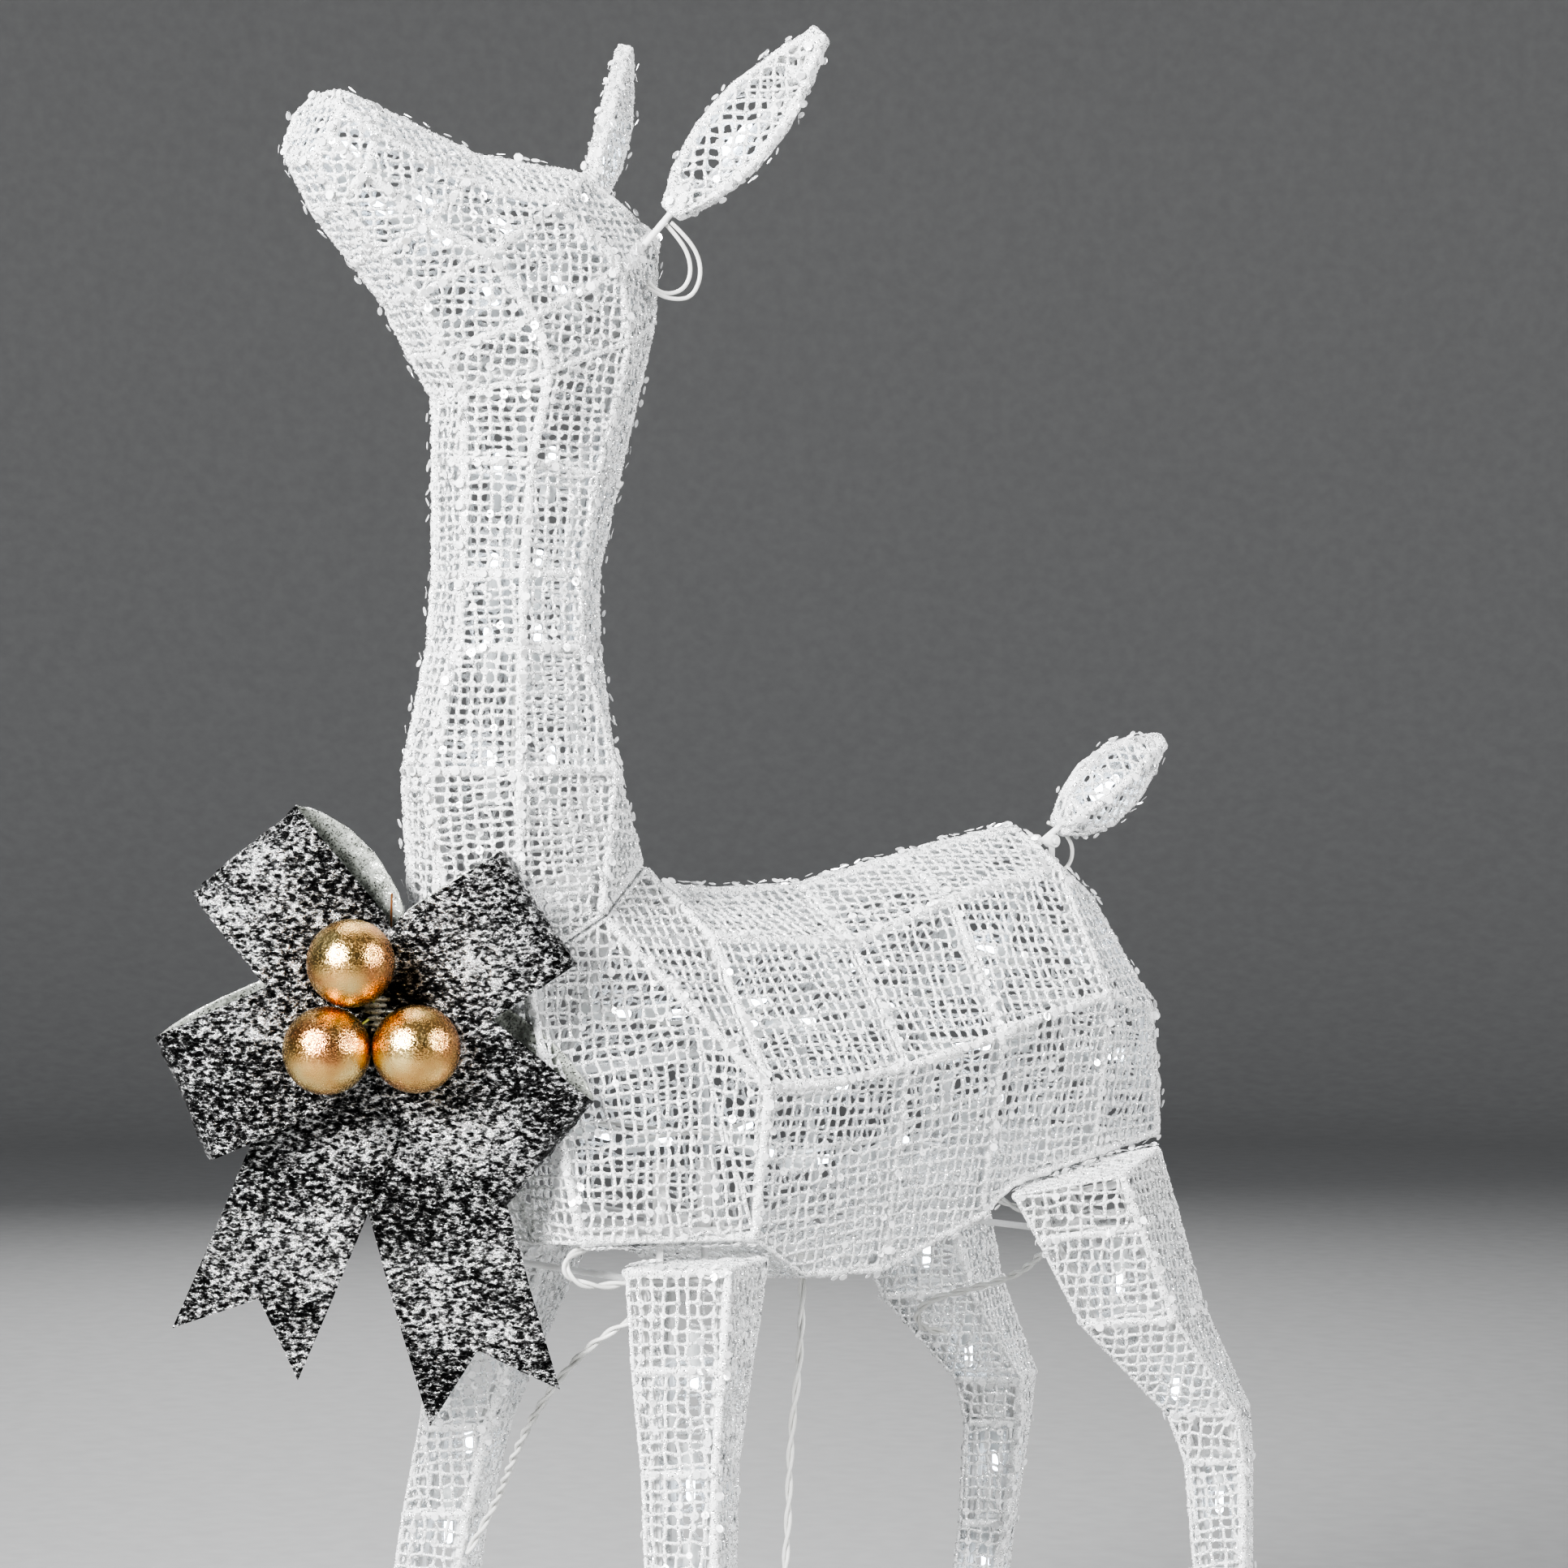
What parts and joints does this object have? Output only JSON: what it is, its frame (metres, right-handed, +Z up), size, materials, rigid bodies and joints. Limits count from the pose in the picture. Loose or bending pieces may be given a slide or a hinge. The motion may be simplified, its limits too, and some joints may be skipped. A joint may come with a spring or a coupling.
{
  "type": "light up yard doe",
  "caption": "Standing lighted yard doe of wire frames covered in white glitter net, with a silver ribbon bow with copper balls at the neck and a mains lead.",
  "frame": {"origin": "on the ground, in the middle of the outline seen from above", "axes": "+Z up, the nose points to -Y, the doe's left side is +X"},
  "size_m": [0.342, 0.7104, 1.0722],
  "materials": {
    "glitter_net": "white knotted net with fine silver glitter and round sequins",
    "white_wire": "white powder coat on steel wire",
    "holder_plastic": "translucent white moulded plastic",
    "lamp_lens": "clear cool-white mini lamp, lit",
    "cord_jacket": "white vinyl insulation",
    "silver_ribbon": "crumpled silver metallic ribbon",
    "copper_glitter": "copper glitter over a plastic ball",
    "copper_wire": "brown lacquered craft wire",
    "green_wire": "yellow-green wrapped florist's wire",
    "blade_metal": "bright brass"
  },
  "bodies": {
    "torso": {"torso_frame": "white_wire", "torso_net": "glitter_net", "torso_lamp_holders": "holder_plastic", "torso_lamps": "lamp_lens", "torso_wiring": "cord_jacket", "cord_grommet": "cord_jacket", "lead_cord": "cord_jacket", "lead_cord_coil": "cord_jacket", "coil_tie": "holder_plastic", "lead_cord_end": "cord_jacket", "plug_body": "cord_jacket", "plug_blades": "blade_metal", "front_jumper": "cord_jacket", "hind_jumper": "cord_jacket", "tail_jumper": "cord_jacket"},
    "neck": {"neck_frame": "white_wire", "neck_net": "glitter_net", "head_frame": "white_wire", "head_net": "glitter_net", "neck_lamp_holders": "holder_plastic", "neck_lamps": "lamp_lens", "neck_wiring": "cord_jacket", "bow_loop_upper_left": "silver_ribbon", "bow_loop_upper_right": "silver_ribbon", "bow_loop_lower_right": "silver_ribbon", "bow_loop_lower_left": "silver_ribbon", "bow_tails": "silver_ribbon", "bow_knot": "silver_ribbon", "bow_balls": "copper_glitter", "bow_ball_stems": "green_wire", "bow_tie_wire": "copper_wire", "ear_jumper_left": "cord_jacket", "ear_jumper_right": "cord_jacket"},
    "ear_left": {"ear_left_frame": "white_wire", "ear_left_net": "glitter_net", "ear_left_lamp": "lamp_lens"},
    "ear_right": {"ear_right_frame": "white_wire", "ear_right_net": "glitter_net", "ear_right_lamp": "lamp_lens"},
    "tail": {"tail_frame": "white_wire", "tail_net": "glitter_net", "tail_lamp": "lamp_lens"},
    "front_legs": {"front_leg_frame_left": "white_wire", "front_leg_frame_right": "white_wire", "front_leg_net_left": "glitter_net", "front_leg_net_right": "glitter_net", "front_leg_lamp_holders": "holder_plastic", "front_leg_lamps": "lamp_lens", "front_cross_bar": "white_wire", "front_foot_plates": "white_wire", "front_link": "cord_jacket"},
    "hind_legs": {"hind_leg_frame_left": "white_wire", "hind_leg_frame_right": "white_wire", "hind_leg_net_left": "glitter_net", "hind_leg_net_right": "glitter_net", "hind_leg_lamp_holders": "holder_plastic", "hind_leg_lamps": "lamp_lens", "hind_cross_bar": "white_wire", "hind_foot_plates": "white_wire", "hind_link": "cord_jacket"}
  },
  "joints": [
    {"name": "neck_lift", "type": "slide", "parent": "torso", "child": "neck", "axis": [0, -0.4789, 0.8779], "range_m": [0, 0.06]},
    {"name": "ear_left_turn", "type": "hinge", "parent": "neck", "child": "ear_left", "pos_m": [0.038, -0.0862, 0.932], "axis": [0.3743, 0.5202, 0.7676], "range_deg": [-60, 60], "deforming": ["ear_jumper_left"]},
    {"name": "ear_right_turn", "type": "hinge", "parent": "neck", "child": "ear_right", "pos_m": [-0.038, -0.0862, 0.932], "axis": [-0.3466, 0.4817, 0.8049], "range_deg": [-60, 60], "deforming": ["ear_jumper_right"]},
    {"name": "tail_tilt", "type": "hinge", "parent": "torso", "child": "tail", "pos_m": [0, 0.2528, 0.583], "axis": [1, 0, 0], "range_deg": [-45, 20], "deforming": ["tail_jumper"]},
    {"name": "front_legs_pull", "type": "slide", "parent": "torso", "child": "front_legs", "axis": [0, 0, -1], "range_m": [0, 0.05], "deforming": ["front_jumper"]},
    {"name": "hind_legs_pull", "type": "slide", "parent": "torso", "child": "hind_legs", "axis": [0, 0, -1], "range_m": [0, 0.05], "deforming": ["hind_jumper"]}
  ]
}
